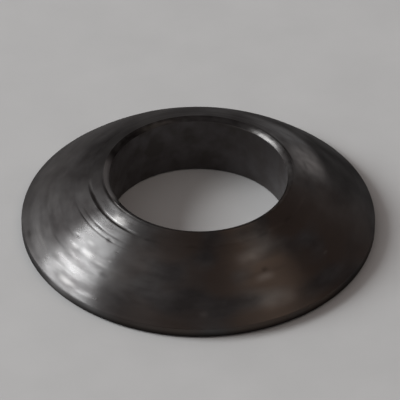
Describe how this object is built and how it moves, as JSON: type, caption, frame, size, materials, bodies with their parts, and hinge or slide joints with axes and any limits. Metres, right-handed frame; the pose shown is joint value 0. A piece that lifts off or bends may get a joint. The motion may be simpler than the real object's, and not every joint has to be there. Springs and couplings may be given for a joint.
{
  "type": "spherical washer",
  "caption": "Convex spherical washer in blackened steel: flat base, short rim, ball-shaped upper seat and a plain bore, for bolts that lean in a conical seat.",
  "frame": {"origin": "centre of the flat base, on the bore's axis", "axes": "+Z along the bore's axis, from the flat base towards the spherical seat"},
  "size_m": [0.021, 0.021, 0.0039],
  "materials": {
    "blackened_steel": "turned, hardened and blackened, lightly oiled"
  },
  "bodies": {
    "root": {"washer": "blackened_steel"}
  },
  "joints": []
}
